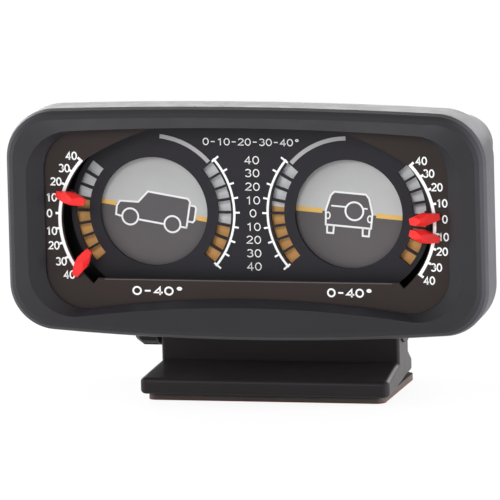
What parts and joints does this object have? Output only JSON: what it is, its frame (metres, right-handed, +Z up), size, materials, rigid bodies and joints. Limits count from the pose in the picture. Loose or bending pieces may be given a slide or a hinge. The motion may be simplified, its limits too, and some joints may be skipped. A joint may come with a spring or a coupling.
{
  "type": "inclinometer",
  "caption": "Dashboard inclinometer with a pitch gauge and a roll gauge in a tilting moulded pod on an adhesive foot.",
  "frame": {"origin": "centre of the adhesive pad's underside, on the surface the part is stuck to", "axes": "+Z up, the dials face -Y, +X to the right of a person who reads the dials"},
  "size_m": [0.14, 0.064, 0.0884],
  "materials": {
    "housing_plastic": "fine textured charcoal",
    "scale_black": "satin",
    "dial_black": "satin",
    "disc_white": "printed",
    "marker_red": "translucent satin",
    "inner_plastic": "matte",
    "bush_nylon": "satin",
    "washer_nylon": "satin",
    "gear_acetal": "satin",
    "weight_brass": "turned",
    "steel": "zinc plated",
    "foam_pad": "closed-cell foam",
    "liner_red": "waxed film"
  },
  "bodies": {
    "foot": {"foot": "housing_plastic", "adhesive_pad": "foam_pad", "pad_liner": "liner_red", "hinge_bolt": "steel", "friction_washer_left": "washer_nylon", "friction_washer_right": "washer_nylon"},
    "knob": {"hinge_knob": "housing_plastic", "knob_insert": "weight_brass"},
    "housing": {"front_bezel": "housing_plastic", "rear_shell": "housing_plastic", "housing_screws": "steel", "hinge_bracket": "housing_plastic", "bracket_screws": "steel", "outer_scale_panel": "scale_black", "scale_panel_screws": "steel", "inner_dial_panel": "dial_black", "dial_panel_screws": "steel", "chassis_plate": "inner_plastic", "chassis_screws": "steel", "pitch_spindle_bush": "bush_nylon", "pitch_bridge": "inner_plastic", "pitch_bridge_screws": "steel", "axle_bush_left": "bush_nylon", "axle_bush_right": "bush_nylon", "roll_front_bush": "bush_nylon", "roll_rear_bush": "bush_nylon", "roll_bridge": "inner_plastic", "roll_bridge_screws": "steel"},
    "pendulum": {"pendulum_axle": "steel", "pendulum_arm_left": "inner_plastic", "pendulum_arm_right": "inner_plastic", "pendulum_bob": "weight_brass", "pendulum_gear": "gear_acetal"},
    "pitch_dial": {"pitch_disc": "disc_white", "pitch_spindle": "steel", "pitch_spindle_gear": "gear_acetal"},
    "roll_dial": {"roll_disc": "disc_white", "roll_spindle": "steel", "roll_arm": "inner_plastic", "roll_weight": "weight_brass", "roll_collar": "steel"},
    "pitch_upper_marker": {"marker_pitch_upper": "marker_red", "slider_pitch_upper": "inner_plastic"},
    "pitch_lower_marker": {"marker_pitch_lower": "marker_red", "slider_pitch_lower": "inner_plastic"},
    "roll_upper_marker": {"marker_roll_upper": "marker_red", "slider_roll_upper": "inner_plastic"},
    "roll_lower_marker": {"marker_roll_lower": "marker_red", "slider_roll_lower": "inner_plastic"}
  },
  "joints": [
    {"name": "knob_turn", "type": "hinge", "parent": "foot", "child": "knob", "pos_m": [-0.04, 0.008, 0.0205], "axis": [1, 0, 0], "range_deg": [0, 180]},
    {"name": "housing_tilt", "type": "hinge", "parent": "foot", "child": "housing", "pos_m": [0, 0.008, 0.0205], "axis": [1, 0, 0], "range_deg": [-20, 25]},
    {"name": "pendulum_swing", "type": "hinge", "parent": "housing", "child": "pendulum", "pos_m": [-0.0285, -0.009, 0.057], "axis": [1, 0, 0], "range_deg": [-40, 40]},
    {"name": "pitch_disc_turn", "type": "hinge", "parent": "housing", "child": "pitch_dial", "pos_m": [-0.0285, -0.032, 0.057], "axis": [0, 1, 0], "range_deg": [-40, 40]},
    {"name": "roll_disc_turn", "type": "hinge", "parent": "housing", "child": "roll_dial", "pos_m": [0.0285, -0.032, 0.057], "axis": [0, 1, 0], "range_deg": [-40, 40]},
    {"name": "pitch_upper_marker_slide", "type": "hinge", "parent": "housing", "child": "pitch_upper_marker", "pos_m": [-0.0297, -0.039, 0.0554], "axis": [0, 1, 0], "range_deg": [-26, 25]},
    {"name": "pitch_lower_marker_slide", "type": "hinge", "parent": "housing", "child": "pitch_lower_marker", "pos_m": [-0.0297, -0.039, 0.0554], "axis": [0, 1, 0], "range_deg": [-8, 10]},
    {"name": "roll_upper_marker_slide", "type": "hinge", "parent": "housing", "child": "roll_upper_marker", "pos_m": [0.0297, -0.039, 0.0554], "axis": [0, 1, 0], "range_deg": [-37, 0.5]},
    {"name": "roll_lower_marker_slide", "type": "hinge", "parent": "housing", "child": "roll_lower_marker", "pos_m": [0.0297, -0.039, 0.0554], "axis": [0, 1, 0], "range_deg": [-0.5, 33]}
  ],
  "couplings": [
    {"joint": "pitch_disc_turn", "follows": "pendulum_swing", "ratio": 1}
  ]
}
